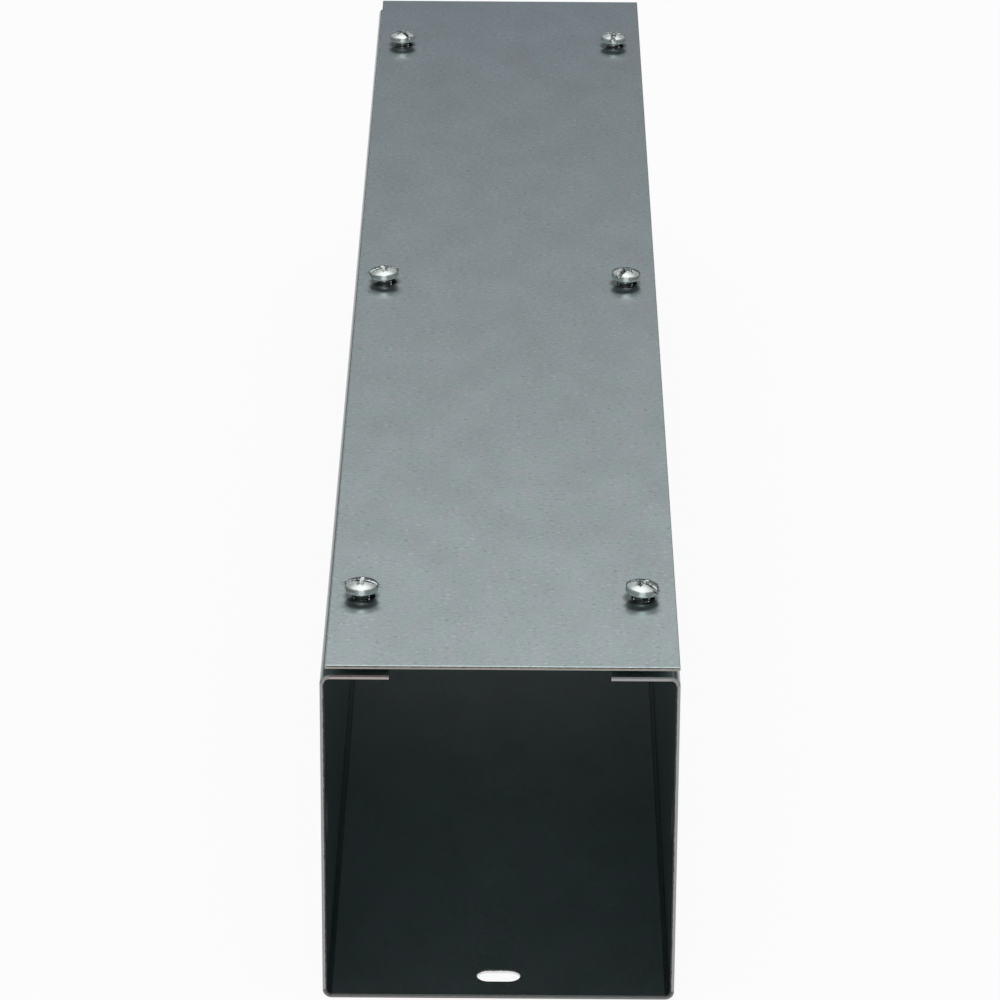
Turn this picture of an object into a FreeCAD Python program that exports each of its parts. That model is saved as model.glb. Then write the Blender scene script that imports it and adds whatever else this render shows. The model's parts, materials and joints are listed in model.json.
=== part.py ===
"""Screw cover wireway: a bent steel trough, a flat cover, and the screws that hold the cover on."""
import FreeCAD, Part
import math
import os

# Trough: one sheet bent into a square channel, with its two top edges turned inwards as lips
trough_length = 609.6
trough_width = 101.6
trough_height = 103.2
trough_sheet = 1.2
bend_inside_radius = 1.5
lip_width = 19.5

# Coupling slots: at both ends, one across the floor and one upright in each side wall
slot_length = 12.7
slot_width = 7.1
slot_end_margin = 11.5

# Cover: a flat sheet as long as the trough, a little narrower, lifted clear of the lips on its screws
cover_sheet = 1.2
cover_edge_inset = 0.8
cover_lift = 2.0

# Cover screws: a row along each lip, half driven, so that the heads stand off the cover
screws_per_lip = 3
screw_front_margin = 46.8
screw_back_margin = 54.8
screw_side_margin = 10.4
screw_lift = 2.0
shank_diameter = 4.8
shank_length = 12.7
shank_tip_chamfer = 0.6

# Screw head: a domed pan head with a driver slot from rim to rim and a shorter cross recess
head_diameter = 10.0
head_height = 3.1
head_rim_height = 1.8
drive_width = 1.2
slot_drive_depth = 1.5
cross_drive_span = 4.8
cross_drive_depth = 2.2
drive_turn = 15.0
drive_turn_step = 47.0

# Fits, all measured on the radius
lip_hole_clearance = 0.05
cover_hole_play = 0.8
cover_touch_clearance = 0.1

UP = FreeCAD.Vector(0, 0, 1)
ALONG = FreeCAD.Vector(0, 1, 0)

half_width = trough_width / 2
half_length = trough_length / 2
lip_tip = half_width - lip_width
cover_underside = trough_height + cover_lift
cover_top = cover_underside + cover_sheet
# The cover has slid sideways until the rims of its holes lie against the shanks
cover_shift = cover_hole_play - cover_touch_clearance
head_underside = cover_top + screw_lift


def section_point(x, z):
    """A point of the trough's cross-section, at its front end."""
    return FreeCAD.Vector(x, -half_length, z)


def bent_run(corners, radius):
    """Edges from the first corner to the last, with an arc of this radius at each right-angled bend."""
    edges = []
    start = corners[0]
    for before, corner, after in zip(corners, corners[1:], corners[2:]):
        arriving = (corner - before).normalize()
        leaving = (after - corner).normalize()
        bend_start = corner - arriving * radius
        bend_end = corner + leaving * radius
        centre = bend_start + leaving * radius
        bend_middle = centre + (corner - centre).normalize() * radius
        edges.append(Part.LineSegment(start, bend_start).toShape())
        edges.append(Part.Arc(bend_start, bend_middle, bend_end).toShape())
        start = bend_end
    edges.append(Part.LineSegment(start, corners[-1]).toShape())
    return edges


def sheet_corners(inset):
    """Corners of the sheet's line, from lip tip to lip tip, this far in from the outside."""
    side = half_width - inset
    top = trough_height - inset
    return [
        section_point(-lip_tip, top),
        section_point(-side, top),
        section_point(-side, inset),
        section_point(side, inset),
        section_point(side, top),
        section_point(lip_tip, top),
    ]


def coupling_slot(centre, long_axis, through_axis):
    """An obround cutter, centred here, that runs one sheet thickness past both faces."""
    depth = trough_sheet * 3
    radius = slot_width / 2
    reach = (slot_length - slot_width) / 2
    base = centre - through_axis * (depth / 2)
    across = through_axis.cross(long_axis) * radius
    first = base - long_axis * reach
    second = base + long_axis * reach
    outline = Part.Wire([
        Part.LineSegment(first + across, second + across).toShape(),
        Part.Arc(second + across, second + long_axis * radius, second - across).toShape(),
        Part.LineSegment(second - across, first - across).toShape(),
        Part.Arc(first - across, first - long_axis * radius, first + across).toShape(),
    ])
    return Part.Face(outline).extrude(through_axis * depth)


def coupling_slots():
    """The slots of both ends of the trough."""
    sideways = FreeCAD.Vector(1, 0, 0)
    cutters = []
    for end in (-1, 1):
        y = end * (half_length - slot_end_margin)
        floor_middle = FreeCAD.Vector(0, y, trough_sheet / 2)
        cutters.append(coupling_slot(floor_middle, sideways, UP))
        for side in (-1, 1):
            wall_middle = FreeCAD.Vector(side * (half_width - trough_sheet / 2), y, trough_height / 2)
            cutters.append(coupling_slot(wall_middle, UP, sideways))
    return cutters


def screw_places():
    """Name and place of each screw on the lips, front to back."""
    places = []
    pitch = (trough_length - screw_front_margin - screw_back_margin) / (screws_per_lip - 1)
    for side_name, side in (("left", -1), ("right", 1)):
        x = side * (half_width - screw_side_margin)
        for row in range(screws_per_lip):
            y = -half_length + screw_front_margin + row * pitch
            places.append((f"cover_screw_{side_name}_{row + 1}", x, y))
    return places


def screw_holes(radius, low, high, shift):
    """Cutters for one sheet's screw holes, one thickness past both faces, shifted sideways."""
    thickness = high - low
    holes = []
    for _, x, y in screw_places():
        foot = FreeCAD.Vector(x + shift, y, low - thickness)
        holes.append(Part.makeCylinder(radius, thickness * 3, foot, UP))
    return holes


def make_trough():
    """The bent channel, slotted at its ends and drilled along its lips."""
    outer_corners = sheet_corners(0)
    inner_corners = sheet_corners(trough_sheet)
    outside = bent_run(outer_corners, bend_inside_radius + trough_sheet)
    inside = bent_run(inner_corners, bend_inside_radius)
    left_tip, right_tip = [
        Part.LineSegment(outer_corners[end], inner_corners[end]).toShape() for end in (0, -1)
    ]
    outline = Part.Wire(outside + [right_tip] + inside[::-1] + [left_tip])
    channel = Part.Face(outline).extrude(ALONG * trough_length)
    lip_holes = screw_holes(
        shank_diameter / 2 + lip_hole_clearance, trough_height - trough_sheet, trough_height, 0
    )
    return channel.cut(coupling_slots() + lip_holes)


def make_cover():
    """The flat cover, with a roomy hole for each screw."""
    width = trough_width - 2 * cover_edge_inset
    corner = FreeCAD.Vector(cover_shift - width / 2, -half_length, cover_underside)
    sheet = Part.makeBox(width, trough_length, cover_sheet, corner)
    holes = screw_holes(shank_diameter / 2 + cover_hole_play, cover_underside, cover_top, cover_shift)
    return sheet.cut(holes)


def make_screw():
    """One screw on the Z axis, with the underside of its head at zero."""
    head_radius = head_diameter / 2
    shank_radius = shank_diameter / 2
    dome_rise = head_height - head_rim_height
    dome_radius = (head_radius ** 2 + dome_rise ** 2) / (2 * dome_rise)
    half_angle = math.asin(head_radius / dome_radius) / 2
    dome_centre = head_height - dome_radius

    def at(radius, height):
        return FreeCAD.Vector(radius, 0, height)

    apex = at(0, head_height)
    dome_middle = at(dome_radius * math.sin(half_angle), dome_centre + dome_radius * math.cos(half_angle))
    rim_top = at(head_radius, head_rim_height)
    rim_bottom = at(head_radius, 0)
    shank_top = at(shank_radius, 0)
    tip_start = at(shank_radius, shank_tip_chamfer - shank_length)
    tip_edge = at(shank_radius - shank_tip_chamfer, -shank_length)
    tip = at(0, -shank_length)
    profile = Part.Wire([
        Part.Arc(apex, dome_middle, rim_top).toShape(),
        Part.LineSegment(rim_top, rim_bottom).toShape(),
        Part.LineSegment(rim_bottom, shank_top).toShape(),
        Part.LineSegment(shank_top, tip_start).toShape(),
        Part.LineSegment(tip_start, tip_edge).toShape(),
        Part.LineSegment(tip_edge, tip).toShape(),
        Part.LineSegment(tip, apex).toShape(),
    ])
    blank = Part.Face(profile).revolve(FreeCAD.Vector(0, 0, 0), UP, 360)
    return blank.cut(drive_cutters())


def drive_cutters():
    """The driver slot and the two arms of the cross, cut down from the top of the dome."""
    cutters = []
    past_rim = head_diameter + 2 * drive_width
    cuts = (
        (past_rim, slot_drive_depth, 0),
        (cross_drive_span, cross_drive_depth, 0),
        (cross_drive_span, cross_drive_depth, 90),
    )
    for span, depth, turn in cuts:
        corner = FreeCAD.Vector(-span / 2, -drive_width / 2, head_height - depth)
        arm = Part.makeBox(span, drive_width, head_height, corner)
        arm.rotate(FreeCAD.Vector(0, 0, 0), UP, turn)
        cutters.append(arm)
    return cutters


def write(shape, node):
    """Write one piece and report its volume."""
    shape.exportStep(os.path.join("parts", f"{node}.step"))
    print(f"{node}: {len(shape.Solids)} solid, {shape.Volume:.1f} cubic mm, valid {shape.isValid()}")


os.makedirs("parts", exist_ok=True)
write(make_trough(), "trough")
write(make_cover(), "cover")
for index, (node, x, y) in enumerate(screw_places()):
    screw = make_screw()
    screw.rotate(FreeCAD.Vector(0, 0, 0), UP, drive_turn + drive_turn_step * index)
    screw.translate(FreeCAD.Vector(x, y, head_underside))
    write(screw, node)
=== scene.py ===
# %% [markdown]
# A screw cover wireway is a square steel trough that carries electric wires along a wall or a ceiling.
# It is bent from one galvanised sheet, and a flat cover is screwed to its two lips.
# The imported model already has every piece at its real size, so it is loaded first and stays as it is.
# The finer meshes below are made around it, in the same frame, and take its place in the picture.

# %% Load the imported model
import json
import math

import bpy
from mathutils import Matrix, Vector


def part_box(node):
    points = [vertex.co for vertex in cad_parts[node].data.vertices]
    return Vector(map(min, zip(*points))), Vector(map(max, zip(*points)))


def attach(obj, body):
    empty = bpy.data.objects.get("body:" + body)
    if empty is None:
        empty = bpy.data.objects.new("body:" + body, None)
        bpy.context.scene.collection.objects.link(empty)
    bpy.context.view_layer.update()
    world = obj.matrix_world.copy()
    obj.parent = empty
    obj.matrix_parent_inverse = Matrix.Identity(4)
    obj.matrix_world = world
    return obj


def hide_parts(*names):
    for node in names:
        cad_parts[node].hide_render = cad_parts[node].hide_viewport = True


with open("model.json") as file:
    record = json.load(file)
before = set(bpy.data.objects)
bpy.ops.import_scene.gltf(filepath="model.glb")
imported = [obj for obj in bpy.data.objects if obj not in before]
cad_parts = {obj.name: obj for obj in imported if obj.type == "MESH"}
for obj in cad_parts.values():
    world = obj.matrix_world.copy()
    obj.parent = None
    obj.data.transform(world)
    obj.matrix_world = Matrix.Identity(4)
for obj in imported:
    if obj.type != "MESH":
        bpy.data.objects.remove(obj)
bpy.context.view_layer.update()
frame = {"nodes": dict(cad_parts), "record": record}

print("packed pieces:", ", ".join(sorted(frame["nodes"])))

# %% [markdown]
# Sizes could be typed in again, but then two files would have to agree for ever.
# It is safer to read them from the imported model: the boxes of its pieces give the sheet and the cover's
# place, and the record's mounts give the slots.
# Sheet metal is drawn in millimetres, so the sizes are kept in that unit, and only the last step of
# each piece turns them into Blender's metres.

# %% Read the sizes
MM = 0.001


def box_in_mm(node):
    """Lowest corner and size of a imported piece, in millimetres."""
    low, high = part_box(node)
    return low / MM, (high - low) / MM


_, (trough_width, trough_length, trough_height) = box_in_mm("trough")
cover_low, cover_size = box_in_mm("cover")
sheet = cover_size.z
trough_corners = [corner.co / MM for corner in frame["nodes"]["trough"].data.vertices]
lip_tip = min(abs(corner.x) for corner in trough_corners if corner.z > trough_height - sheet / 2)
lip_width = trough_width / 2 - lip_tip
print(f"trough {trough_width:.1f} wide, {trough_height:.1f} high, {trough_length:.1f} long")
print(f"sheet {sheet:.2f} thick, lips {lip_width:.1f} wide")

floor_slot = next(mount for mount in frame["record"]["mounts"] if mount["name"] == "slot_floor_front")
slot_length = floor_slot["dims"]["slot_length_mm"]
slot_width = 2 * floor_slot["dims"]["hole_r_mm"]
slot_margin = trough_length / 2 - abs(floor_slot["pos_m"][1]) / MM
print(f"slot {slot_length:.2f} x {slot_width:.2f}, {slot_margin:.2f} from the end")

# %% [markdown]
# The screws stand in two rows, one in each lip. Their boxes tell where each one stands, how far apart they
# are and how high their heads reach, so the rows of holes can be laid out from the same places.

# %% Find the screws
screw_nodes = sorted(name for name in frame["nodes"] if name.startswith("cover_screw"))
screw_places = {}
for node in screw_nodes:
    screw_low, screw_size = box_in_mm(node)
    screw_places[node] = screw_low + screw_size / 2
screw_top = screw_low.z + screw_size.z
left_row = [place for place in screw_places.values() if place.x < 0]
screws_per_row = len(left_row)
screw_across = -left_row[0].x
screw_spacing = left_row[1].y - left_row[0].y
screw_middle = (left_row[0].y + left_row[-1].y) / 2
print(f"{len(screw_nodes)} screws, {screw_spacing:.1f} apart, {screw_across:.1f} from the middle line")

# %% [markdown]
# Geometry Nodes and shaders are both graphs of nodes, and a script that builds them soon repeats itself.
# A few small helpers keep the rest readable: they add a node and feed its inputs, do sums, and put vectors
# together or take them apart.
# An input takes either another node's output, which becomes a link, or a plain value.

# %% Helpers for every node tree


def feed(tree, node, inputs):
    """Give a node its inputs, by name or number."""
    for key, value in inputs.items():
        if isinstance(value, bpy.types.NodeSocket):
            tree.links.new(value, node.inputs[key])
        else:
            node.inputs[key].default_value = value


def add_node(tree, kind, inputs=None, **options):
    """Add a node, set its options, then feed its inputs."""
    made = tree.nodes.new(kind)
    for option, value in options.items():
        setattr(made, option, value)
    feed(tree, made, inputs or {})
    return made


def calc(tree, operation, first, second=0.0, third=0.0):
    """The result of one Math node."""
    values = {0: first, 1: second, 2: third}
    return add_node(tree, "ShaderNodeMath", values, operation=operation).outputs[0]


def vector_calc(tree, operation, first, second):
    """The result of one Vector Math node."""
    second_input = "Scale" if operation == "SCALE" else 1
    made = add_node(tree, "ShaderNodeVectorMath", {0: first, second_input: second}, operation=operation)
    return made.outputs["Value" if operation == "DISTANCE" else "Vector"]


def xyz(tree, x=0.0, y=0.0, z=0.0):
    """A vector put together from three values."""
    return add_node(tree, "ShaderNodeCombineXYZ", {"X": x, "Y": y, "Z": z}).outputs[0]


def axes_of(tree, vector):
    """The three values of a vector, by the names X, Y and Z."""
    return add_node(tree, "ShaderNodeSeparateXYZ", {"Vector": vector}).outputs


def spread(tree, value, low, high, to_low, to_high):
    """Map one range of values to another, and stop at its ends."""
    inputs = {"Value": value, "From Min": low, "From Max": high, "To Min": to_low, "To Max": to_high}
    return add_node(tree, "ShaderNodeMapRange", inputs).outputs[0]


print("helpers for nodes, sums and vectors are ready")

# %% [markdown]
# A finish has to follow the sheet round its bends. So the materials read an attribute named blank: the place
# of each point on the flat blank, in millimetres, before it was bent. Object coordinates would be simpler, but
# they would cut straight through the bends. Other attributes tell where it was cut or bent, or has painted shade.

# %% Helpers for finishes
usual_noise = (0.3, 0.7)


def new_finish(name):
    """A new material. Gives it with its tree and its shader."""
    material = bpy.data.materials.new(name)
    material.use_nodes = True
    return material, material.node_tree, material.node_tree.nodes["Principled BSDF"]


def attribute(tree, name):
    """What an attribute of the mesh says at a point, as a number Fac and as a Vector."""
    return add_node(tree, "ShaderNodeAttribute", attribute_name=name).outputs


def blank_noise(tree, stretch, scale, detail):
    """Noise on the flat blank, stretched by different amounts along and across it."""
    stretched = vector_calc(tree, "MULTIPLY", attribute(tree, "blank")["Vector"], stretch)
    return add_node(tree, "ShaderNodeTexNoise", {"Vector": stretched, "Scale": scale, "Detail": detail}).outputs[0]


def blended(tree, share, first, second):
    """A colour between two others. A Mix node takes colours at its inputs 6 and 7."""
    return add_node(tree, "ShaderNodeMix", {"Factor": share, 6: first, 7: second}, data_type="RGBA").outputs[2]


print("most noise lies between", *usual_noise)

# %% [markdown]
# The sheet is cold rolled steel with a thin coat of zinc. Under soft light it is a half glossy blue grey, with
# a fine grain, faint clouds, patches that are a little greener or more violet, and many small specks.
# A metal's colour is the colour of its reflections, so the base colour stays plain and the life comes
# from small changes in brightness and roughness. Zinc also grows a thin dull skin in the air, which scatters
# a little light, so the finish is not metallic all the way. Without it the inside would look black.
# The rolls leave a fine grain along the sheet, which smears a reflection sideways but not lengthwise. That is
# anisotropy: the grain's direction goes to the tangent, and a quarter turn smears across it.
# Under the screw heads and along the bends the colour is darker: that is painted shade.
# Each noise is listed as its stretch, scale and detail. The specks are the two ends of one noise: their four
# numbers are where they start, where they are full, and the tone at both.

# %% Finish of the galvanised sheet
green_zinc = (0.463, 0.560, 0.561, 1.0)
violet_zinc = (0.489, 0.553, 0.571, 1.0)
grain_noise = ((0.9, 1.0, 1.0), 0.9, 3.0)
cloud_noise = ((1.0, 0.6, 1.0), 0.06, 3.0)
patch_noise = ((1.0, 0.5, 1.0), 0.16, 2.0)
speck_noise = ((0.75, 1.0, 1.0), 0.8, 1.0)
grain_tones = (0.92, 1.08)
cloud_tones = (0.94, 1.06)
patch_change = (0.4, 0.6)
dark_specks = (0.63, 0.75, 1.0, 0.72)
light_specks = (0.37, 0.25, 1.0, 1.26)
# painted shade: under the screw heads the zinc's colour is multiplied down to this share
under_head_shade_share = 0.25
# painted shade: along the bends the zinc's colour is multiplied down to this share
bend_shade_share = 0.4
bright_share = 0.94
zinc_roughness = (0.22, 0.26)
grain_bump = {"Strength": 0.04, "Distance": 0.1 * MM}
grain_smear = {"Anisotropic": 0.9, "Anisotropic Rotation": 0.25}


def galvanised_finish(name):
    """The zinc coat: grain, clouds, patches and specks, and painted shade under the heads and along the bends."""
    material, tree, shader = new_finish(name)
    grain = blank_noise(tree, *grain_noise)
    specks = blank_noise(tree, *speck_noise)
    brightness = spread(tree, grain, *usual_noise, *grain_tones)
    for share in (
        spread(tree, blank_noise(tree, *cloud_noise), *usual_noise, *cloud_tones),
        spread(tree, specks, *dark_specks),
        spread(tree, specks, *light_specks),
        spread(tree, attribute(tree, "under_head_shade")["Fac"], 0.0, 1.0, 1.0, under_head_shade_share),
        spread(tree, attribute(tree, "bent")["Fac"], 0.0, 1.0, 1.0, bend_shade_share),
    ):
        brightness = calc(tree, "MULTIPLY", brightness, share)
    patches = spread(tree, blank_noise(tree, *patch_noise), *patch_change, 0.0, 1.0)
    zinc = blended(tree, patches, green_zinc, violet_zinc)
    feed(tree, shader, {
        "Base Color": vector_calc(tree, "SCALE", zinc, brightness),
        "Metallic": bright_share,
        "Roughness": spread(tree, grain, *usual_noise, *zinc_roughness),
        "Normal": add_node(tree, "ShaderNodeBump", {"Height": grain, **grain_bump}).outputs[0],
        "Tangent": xyz(tree, 0.0, 1.0, 0.0),
        **grain_smear,
    })
    return material


galvanised = galvanised_finish("rolled_zinc")
print("finish:", galvanised.name)

# %% [markdown]
# Where the sheet was sheared or punched, the zinc ends and bare steel shows.
# A sheared edge has two bands: the blade cuts one part smooth, and the rest breaks off rough and dark.
# Each side of a blank meets the shear in its own way, and some of its tones also paint light or shade, so
# attributes describe the bands of each side: the tone next to the outer face, the tone next to the inner face,
# and how deep in the sheet one becomes the other.
# An attribute named through says how deep a point lies, from 0 on the outer face to 1 on the inner face.
# A punch works in the same way, from the outer face, so the walls of a hole are smooth first and then break
# off. An attribute named punched says where they are, and one named hole_cut how bright their smooth part is.

# %% Finish of the sheared edges
hole_break = (0.05, 0.05, 0.05, 1.0)
hole_change = 0.65
ragged_noise = ((1.0, 1.0, 0.2), 1.5, 3.0)
ragged_share = 0.1
band_blur = 0.05
steel_roughness = 0.5


def sheared_finish(name):
    """Bare steel: one band next to the outer face, and another next to the inner face."""
    material, tree, shader = new_finish(name)
    ragged = spread(tree, blank_noise(tree, *ragged_noise), *usual_noise, -ragged_share, ragged_share)
    depth = calc(tree, "ADD", attribute(tree, "through")["Fac"], ragged)

    def banded(first, second, change):
        """The first tone down to the depth of the change, and the second below it."""
        past = calc(tree, "SUBTRACT", depth, change)
        return blended(tree, spread(tree, past, -band_blur, band_blur, 0.0, 1.0), first, second)

    outer = attribute(tree, "outer_cut")["Vector"]
    inner = attribute(tree, "inner_cut")["Vector"]
    edge = banded(outer, inner, attribute(tree, "cut_change")["Fac"])
    hole = banded(attribute(tree, "hole_cut")["Vector"], hole_break, hole_change)
    steel = blended(tree, attribute(tree, "punched")["Fac"], edge, hole)
    feed(tree, shader, {"Base Color": steel, "Metallic": 1.0, "Roughness": steel_roughness})
    return material


sheared = sheared_finish("sheared_edge")
print("finish:", sheared.name)

# %% [markdown]
# The screws are zinc plated. The plating is brighter than the sheet's coat and almost white, with a fine
# grain that breaks up the highlights. The underside of a head gets a rougher copy of the same finish, darkened
# as painted shade, which shows in the mirror image on the cover, so the same finish comes in two tones.

# %% Finish of the screws
plating_noise = {"Scale": 1500.0, "Detail": 3.0}
plating_tint = (0.7, 0.75, 0.735, 1.0)
plating_roughness = (0.18, 0.26)
# painted shade: the underside's dark tint stands for the shade under the head
underside_shade_tint = (0.2, 0.21, 0.2, 1.0)
underside_roughness = (0.45, 0.55)


def plated_finish(name, tint, roughness):
    """Zinc plating with a fine grain."""
    material, tree, shader = new_finish(name)
    place = add_node(tree, "ShaderNodeTexCoord").outputs["Object"]
    grain = add_node(tree, "ShaderNodeTexNoise", {"Vector": place, **plating_noise}).outputs[0]
    rough = spread(tree, grain, *usual_noise, *roughness)
    feed(tree, shader, {"Base Color": tint, "Metallic": 1.0, "Roughness": rough})
    return material


plated = plated_finish("zinc_plating", plating_tint, plating_roughness)
shaded_plating = plated_finish("shaded_underside_plating", underside_shade_tint, underside_roughness)
print("finishes:", plated.name, "and", shaded_plating.name)

# %% [markdown]
# A geometry tree is built once and run on an object by a modifier.
# Its sizes are named inputs, so the lip or the slot is one number in the modifier's panel.
# The result is then turned into a plain mesh and the modifier is taken off, because a finished piece
# should not depend on a tree that has to run again.

# %% Grow a piece


def new_tree(name, build, sizes):
    """A tree with one named input for each size. Gives it with the identifiers of these inputs."""
    tree = bpy.data.node_groups.new(name, "GeometryNodeTree")
    tree.interface.new_socket("Geometry", in_out="INPUT", socket_type="NodeSocketGeometry")
    identifiers = {}
    for size in sizes:
        socket = tree.interface.new_socket(size, in_out="INPUT", socket_type="NodeSocketFloat")
        identifiers[size] = socket.identifier
    tree.interface.new_socket("Geometry", in_out="OUTPUT", socket_type="NodeSocketGeometry")
    result = build(tree, tree.nodes.new("NodeGroupInput").outputs)
    tree.links.new(result, tree.nodes.new("NodeGroupOutput").inputs[0])
    return tree, identifiers


def grow(name, build, sizes, base=None):
    """Run a new tree once on a new object, and keep the result as that object's plain mesh."""
    piece = bpy.data.objects.new(name, base or bpy.data.meshes.new(name))
    bpy.context.scene.collection.objects.link(piece)
    modifier = piece.modifiers.new(name, "NODES")
    modifier.node_group, identifiers = new_tree(name, build, sizes)
    for size, identifier in identifiers.items():
        modifier[identifier] = sizes[size]
    depsgraph = bpy.context.evaluated_depsgraph_get()
    grown = piece.evaluated_get(depsgraph)
    mesh = bpy.data.meshes.new_from_object(grown, preserve_all_data_layers=True, depsgraph=depsgraph)
    piece.modifiers.remove(modifier)
    piece.data = mesh
    mesh.name = name
    print(f"{name}: {len(mesh.vertices)} vertices, {len(mesh.polygons)} faces")
    return piece


print("pieces are grown at the origin, with their place in their mesh")

# %% [markdown]
# Some steps come back in every tree: joining, moving, welding, leaving a note on the points or faces as an
# attribute, and giving a finish. Each becomes a helper, so that the trees below read like a list of works.

# %% Helpers for geometry trees
weld_distance = 0.0005


def here(tree):
    """The place of each point."""
    return add_node(tree, "GeometryNodeInputPosition").outputs[0]


def joined(tree, parts):
    """One geometry from several."""
    join = tree.nodes.new("GeometryNodeJoinGeometry")
    for part in parts:
        tree.links.new(part, join.inputs[0])
    return join.outputs[0]


def moved(tree, geometry, **change):
    """The same geometry with another Translation, Rotation or Scale."""
    return add_node(tree, "GeometryNodeTransform", {"Geometry": geometry, **change}).outputs[0]


def placed(tree, geometry, **places):
    """The same geometry with each point at its own Position, or moved by its own Offset."""
    return add_node(tree, "GeometryNodeSetPosition", {"Geometry": geometry, **places}).outputs[0]


def welded(tree, parts):
    """One geometry from several, with points that lie on each other made one."""
    whole = {"Geometry": joined(tree, parts), "Distance": weld_distance}
    return add_node(tree, "GeometryNodeMergeByDistance", whole).outputs[0]


def turned_over(tree, mesh):
    """The same faces, seen from the other side."""
    return add_node(tree, "GeometryNodeFlipFaces", {"Mesh": mesh}).outputs[0]


def realised(tree, copies):
    """Real geometry in place of instances."""
    return add_node(tree, "GeometryNodeRealizeInstances", {"Geometry": copies}).outputs[0]


def stored(tree, geometry, name, value, data_type, domain):
    """The same geometry with one more named attribute."""
    inputs = {"Geometry": geometry, "Name": name, "Value": value}
    kinds = {"data_type": data_type, "domain": domain}
    return add_node(tree, "GeometryNodeStoreNamedAttribute", inputs, **kinds).outputs[0]


def painted(tree, geometry, material, where=True):
    """The same geometry with this finish, on all faces or only where it is wanted."""
    inputs = {"Geometry": geometry, "Selection": where, "Material": material}
    return add_node(tree, "GeometryNodeSetMaterial", inputs).outputs[0]


print("points closer than", weld_distance, "mm are welded")

# %% [markdown]
# In the factory the trough starts as a flat blank: it is sheared to size, its slots and screw holes are
# punched, and only then is it bent. The tree works in the same order.
# Each flat panel is a rectangle and its hole outlines, filled by one node, which leaves the holes open.
# This is cleaner than cutting holes into a finished trough, because no cut ever crosses a curved face.
# The round ends of a slot stop just short of half its width, because there two corners would meet.

# %% Punched panels
hole_steps = 48
almost_half = 0.4999


def row_of(tree, outline, count, spacing, across=0.0, middle=0.0):
    """Copies of an outline, or of a ring, in a row along the sheet, centred on this middle."""
    first = calc(tree, "MULTIPLY_ADD", spacing, (1 - count) / 2, middle)
    points = {"Count": count, "Start Location": xyz(tree, across, first), "Offset": xyz(tree, 0.0, spacing)}
    line = add_node(tree, "GeometryNodeMeshLine", points).outputs[0]
    copies = add_node(tree, "GeometryNodeInstanceOnPoints", {"Points": line, "Instance": outline}).outputs[0]
    return realised(tree, copies)


def rectangle(tree, width, height):
    """The outline of a rectangle."""
    return add_node(tree, "GeometryNodeCurvePrimitiveQuadrilateral", {"Width": width, "Height": height}).outputs[0]


def rounded(tree, curve, steps, radius):
    """The same curve with round corners."""
    rounding = {"Curve": curve, "Count": steps, "Radius": radius}
    return add_node(tree, "GeometryNodeFilletCurve", rounding, mode="POLY").outputs[0]


def round_hole(tree, diameter):
    """The outline of a round hole."""
    circle = {"Resolution": hole_steps, "Radius": calc(tree, "MULTIPLY", diameter, 0.5)}
    return add_node(tree, "GeometryNodeCurvePrimitiveCircle", circle).outputs[0]


def punched_slot(tree, length, width):
    """The outline of a slot with round ends, long across the panel."""
    radius = calc(tree, "MULTIPLY", width, almost_half)
    return rounded(tree, rectangle(tree, length, width), hole_steps // 4, radius)


def punched_panel(tree, width, length, holes):
    """A flat rectangle with these outlines left open."""
    outlines = joined(tree, [rectangle(tree, width, length), *holes])
    return add_node(tree, "GeometryNodeFillCurve", {"Curve": outlines}, mode="NGONS").outputs[0]


print("holes have", hole_steps, "points")

# %% [markdown]
# A flat blank becomes a slab of sheet by extruding it one thickness. Extruding leaves the underside open,
# so the blank itself is turned over and welded on as the underside.
# Four notes are left on the slab for later: which faces were sheared, which of those lie inside the blank
# and so were punched, how deep a point lies in the sheet, and where it lies on the blank. Every sharp edge
# also gets a bevel weight: the shear rolls the edge over on the outer face and leaves it almost square on
# the inner face.

# %% Sheet from a blank
sharp_angle = math.radians(60)
burr_side_weight = 0.35
rim_band = 0.5
cut_notes = ("outer_cut", "inner_cut", "cut_change", "hole_cut")


def noted(tree, panel, cut, bent=0.0):
    """A part of a blank with the bands of its cut edges, and whether it will be bent."""
    for name, value in zip((*cut_notes, "bent"), (*cut, bent)):
        data_type = "FLOAT_VECTOR" if isinstance(value, tuple) else "FLOAT"
        panel = stored(tree, panel, name, value, data_type, "FACE")
    return panel


def well_inside(tree, blank, place):
    """1 for a place that lies inside the blank's outer rim, 0 for one on the rim."""
    box = add_node(tree, "GeometryNodeBoundBox", {"Geometry": blank}).outputs
    inside = 1.0
    for first, second in ((place, box["Min"]), (box["Max"], place)):
        apart = axes_of(tree, vector_calc(tree, "SUBTRACT", first, second))
        for axis in ("X", "Y"):
            inside = calc(tree, "MULTIPLY", inside, calc(tree, "GREATER_THAN", apart[axis], rim_band))
    return inside


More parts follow.
